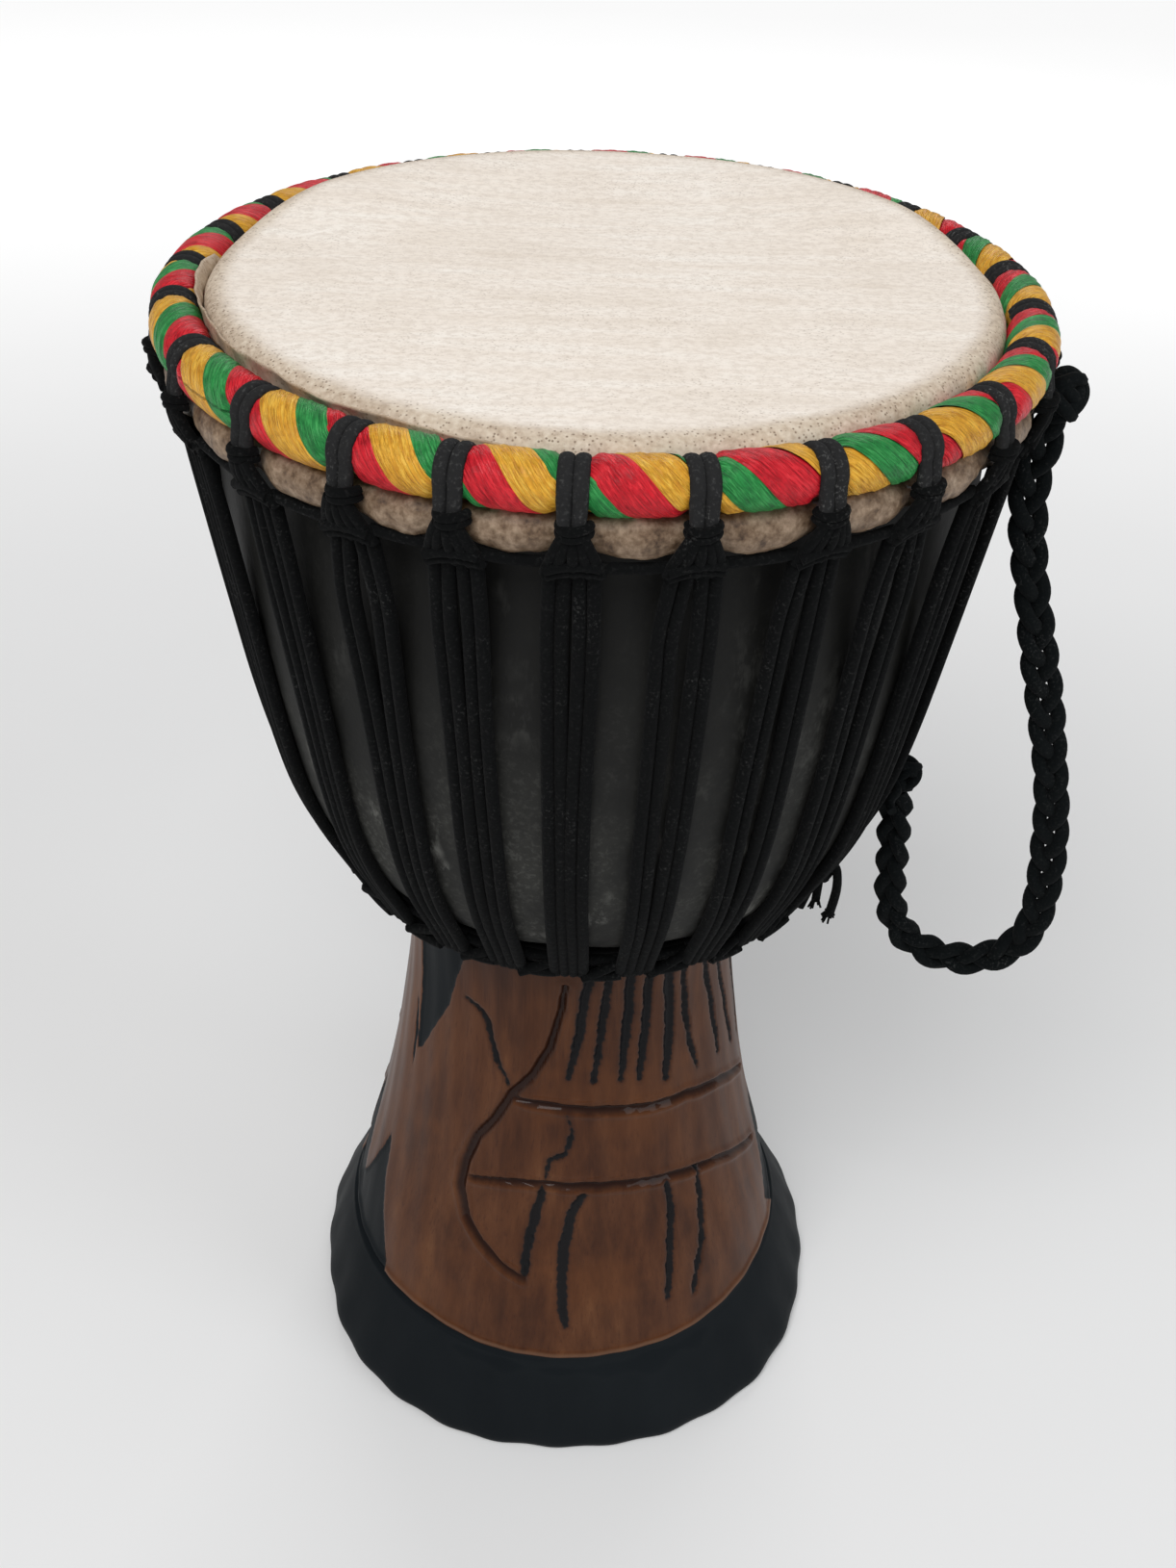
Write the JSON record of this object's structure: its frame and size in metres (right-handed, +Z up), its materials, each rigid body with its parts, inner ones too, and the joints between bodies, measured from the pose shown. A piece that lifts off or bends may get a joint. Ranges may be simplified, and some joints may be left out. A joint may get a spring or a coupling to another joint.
{
  "type": "djembe",
  "caption": "Goblet-shaped hand drum with a goatskin head, cloth-wrapped crown ring, black rope lacing, carved wooden stem and a braided rope handle.",
  "frame": {"origin": "centre of the bowl's axis on the floor that the foot stands on", "axes": "+Z up along the bowl's axis, -Y the front, +X the side that the braided handle hangs on"},
  "size_m": [0.3818, 0.3457, 0.5637],
  "materials": {
    "carved_wood": "varnished red-brown stem, black-painted bowl and foot",
    "goatskin": "matte, speckled, browner at the rim",
    "steel": "plain rod",
    "black_steel": "black rod under the rope",
    "red_cloth": "satin sheen",
    "yellow_cloth": "satin sheen",
    "green_cloth": "satin sheen",
    "black_rope": "matte braided low-stretch rope"
  },
  "bodies": {
    "drum": {"shell": "carved_wood", "drumhead_skin": "goatskin", "flesh_ring": "steel", "crown_ring": "steel", "crown_cloth_red": "red_cloth", "crown_cloth_yellow": "yellow_cloth", "crown_cloth_green": "green_cloth", "crown_loops": "black_rope", "crown_hitches": "black_rope", "crown_knots": "black_rope", "crown_links": "black_rope", "lace_outer_left": "black_rope", "lace_inner_left": "black_rope", "lace_inner_right": "black_rope", "lace_outer_right": "black_rope", "bottom_ring": "black_steel", "bottom_links": "black_rope", "lace_start_knot": "black_rope", "tail_knot": "black_rope", "tail_rope": "black_rope", "handle_knot": "black_rope", "handle_hitch": "black_rope"},
    "handle": {"braided_handle": "black_rope"}
  },
  "joints": [
    {"name": "handle_swing", "type": "hinge", "parent": "drum", "child": "handle", "pos_m": [0.13617, -0.03031, 0.357], "axis": [0.1741, -0.0388, 0.984], "range_deg": [-65, 65]}
  ]
}
